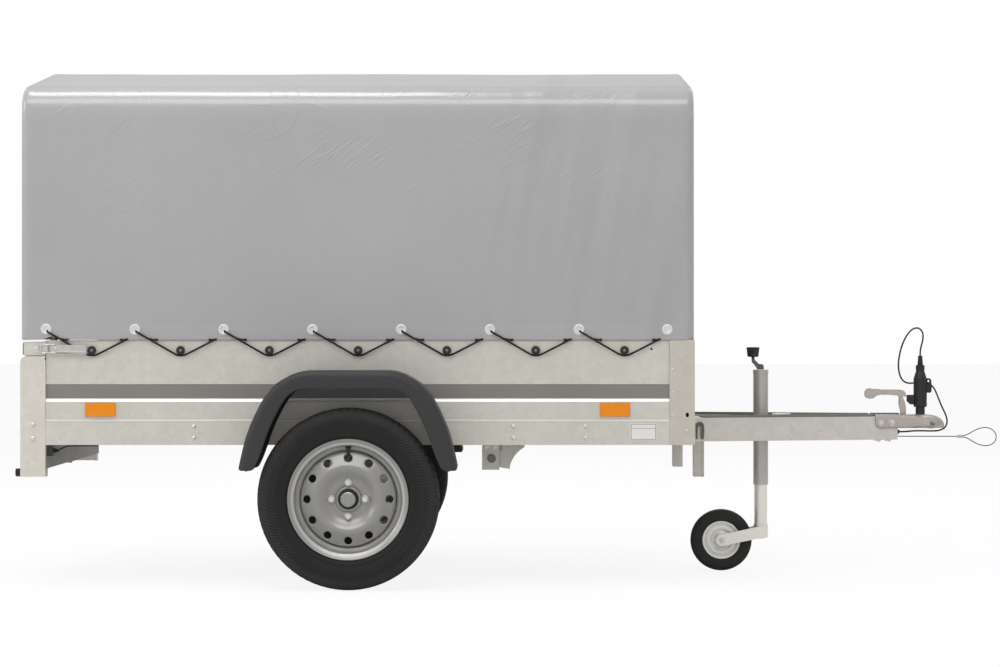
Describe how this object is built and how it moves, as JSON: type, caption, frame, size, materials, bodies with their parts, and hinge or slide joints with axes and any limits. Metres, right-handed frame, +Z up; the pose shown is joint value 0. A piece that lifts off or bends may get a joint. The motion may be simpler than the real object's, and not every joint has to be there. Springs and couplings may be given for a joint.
{
  "type": "utility trailer",
  "caption": "Single-axle tipping box trailer with a pitched tarpaulin, drop tailgate, hinged V drawbar, ball coupling and jockey wheel.",
  "frame": {"origin": "ground point under the middle of the trailer's length and width", "axes": "+X forward to the coupling, +Y to the left, +Z up"},
  "size_m": [3.1143, 1.4996, 1.615],
  "materials": {
    "galvanised_sheet": "satin spangle",
    "zinc_plate": "satin",
    "tube_steel": "satin",
    "plywood": "phenolic film",
    "tarpaulin": "coated, soft gloss",
    "lamp_lens": "gloss",
    "orange_lens": "gloss",
    "black_plastic": "matte",
    "fender_plastic": "fine grain",
    "black_rubber": "matte",
    "tyre": "matte",
    "wheel_paint": "satin silver",
    "jockey_rim_grey": "satin",
    "wire_rope": "stranded"
  },
  "bodies": {
    "box": {"floor": "plywood", "side_panel_right": "galvanised_sheet", "side_panel_left": "galvanised_sheet", "rear_posts": "galvanised_sheet", "front_posts": "galvanised_sheet", "front_wall": "galvanised_sheet", "cross_members": "galvanised_sheet", "cover": "tarpaulin", "cover_bows": "tube_steel", "light_board": "galvanised_sheet", "tail_lamps": "lamp_lens", "lamp_connectors": "black_plastic", "buffers": "black_rubber", "tailgate_hinges": "zinc_plate", "latches": "zinc_plate", "side_reflectors": "orange_lens", "lacing_knobs": "black_plastic", "axle_beam": "galvanised_sheet", "axle_arms": "galvanised_sheet", "fenders": "fender_plastic", "frame_brackets": "galvanised_sheet"},
    "tailgate": {"tailgate": "galvanised_sheet"},
    "wheel_right": {"tyre_right": "tyre", "rim_right": "wheel_paint", "hub_right": "zinc_plate"},
    "wheel_left": {"tyre_left": "tyre", "rim_left": "wheel_paint", "hub_left": "zinc_plate"},
    "drawbar": {"drawbar_arm_right": "galvanised_sheet", "drawbar_arm_left": "galvanised_sheet", "drawbar_plates": "galvanised_sheet", "coupling": "zinc_plate", "coupling_handle": "zinc_plate", "plug_holder": "black_plastic", "plug": "black_plastic", "plug_lead": "black_rubber", "safety_cable": "wire_rope", "safety_cable_loop": "wire_rope", "cable_ferrule": "zinc_plate", "cord_fittings": "black_rubber", "jockey_clamp": "zinc_plate", "jockey_tube": "zinc_plate", "jockey_crank": "black_plastic"},
    "jockey_leg": {"jockey_inner_tube": "zinc_plate"},
    "jockey_fork": {"jockey_fork": "zinc_plate"},
    "jockey_wheel": {"jockey_rim": "jockey_rim_grey", "jockey_tyre": "black_rubber"}
  },
  "joints": [
    {"name": "tailgate_hinge", "type": "hinge", "parent": "box", "child": "tailgate", "pos_m": [-1.452, 0, 0.437], "axis": [0, -1, 0], "range_deg": [0, 177]},
    {"name": "wheel_right_spin", "type": "hinge", "parent": "box", "child": "wheel_right", "pos_m": [-0.431, -0.6625, 0.2735], "axis": [0, 1, 0], "continuous": true},
    {"name": "wheel_left_spin", "type": "hinge", "parent": "box", "child": "wheel_left", "pos_m": [-0.431, 0.6625, 0.2735], "axis": [0, 1, 0], "continuous": true},
    {"name": "drawbar_tilt", "type": "hinge", "parent": "box", "child": "drawbar", "pos_m": [-0.002, 0, 0.38], "axis": [0, 1, 0], "range_deg": [0, 20]},
    {"name": "jockey_slide", "type": "slide", "parent": "drawbar", "child": "jockey_leg", "axis": [0, 0, 1], "range_m": [-0.05, 0.115]},
    {"name": "fork_swivel", "type": "hinge", "parent": "jockey_leg", "child": "jockey_fork", "pos_m": [0.872, 0, 0.129], "axis": [0, 0, 1], "continuous": true},
    {"name": "jockey_spin", "type": "hinge", "parent": "jockey_fork", "child": "jockey_wheel", "pos_m": [0.743, 0, 0.1], "axis": [0, 1, 0], "continuous": true}
  ]
}
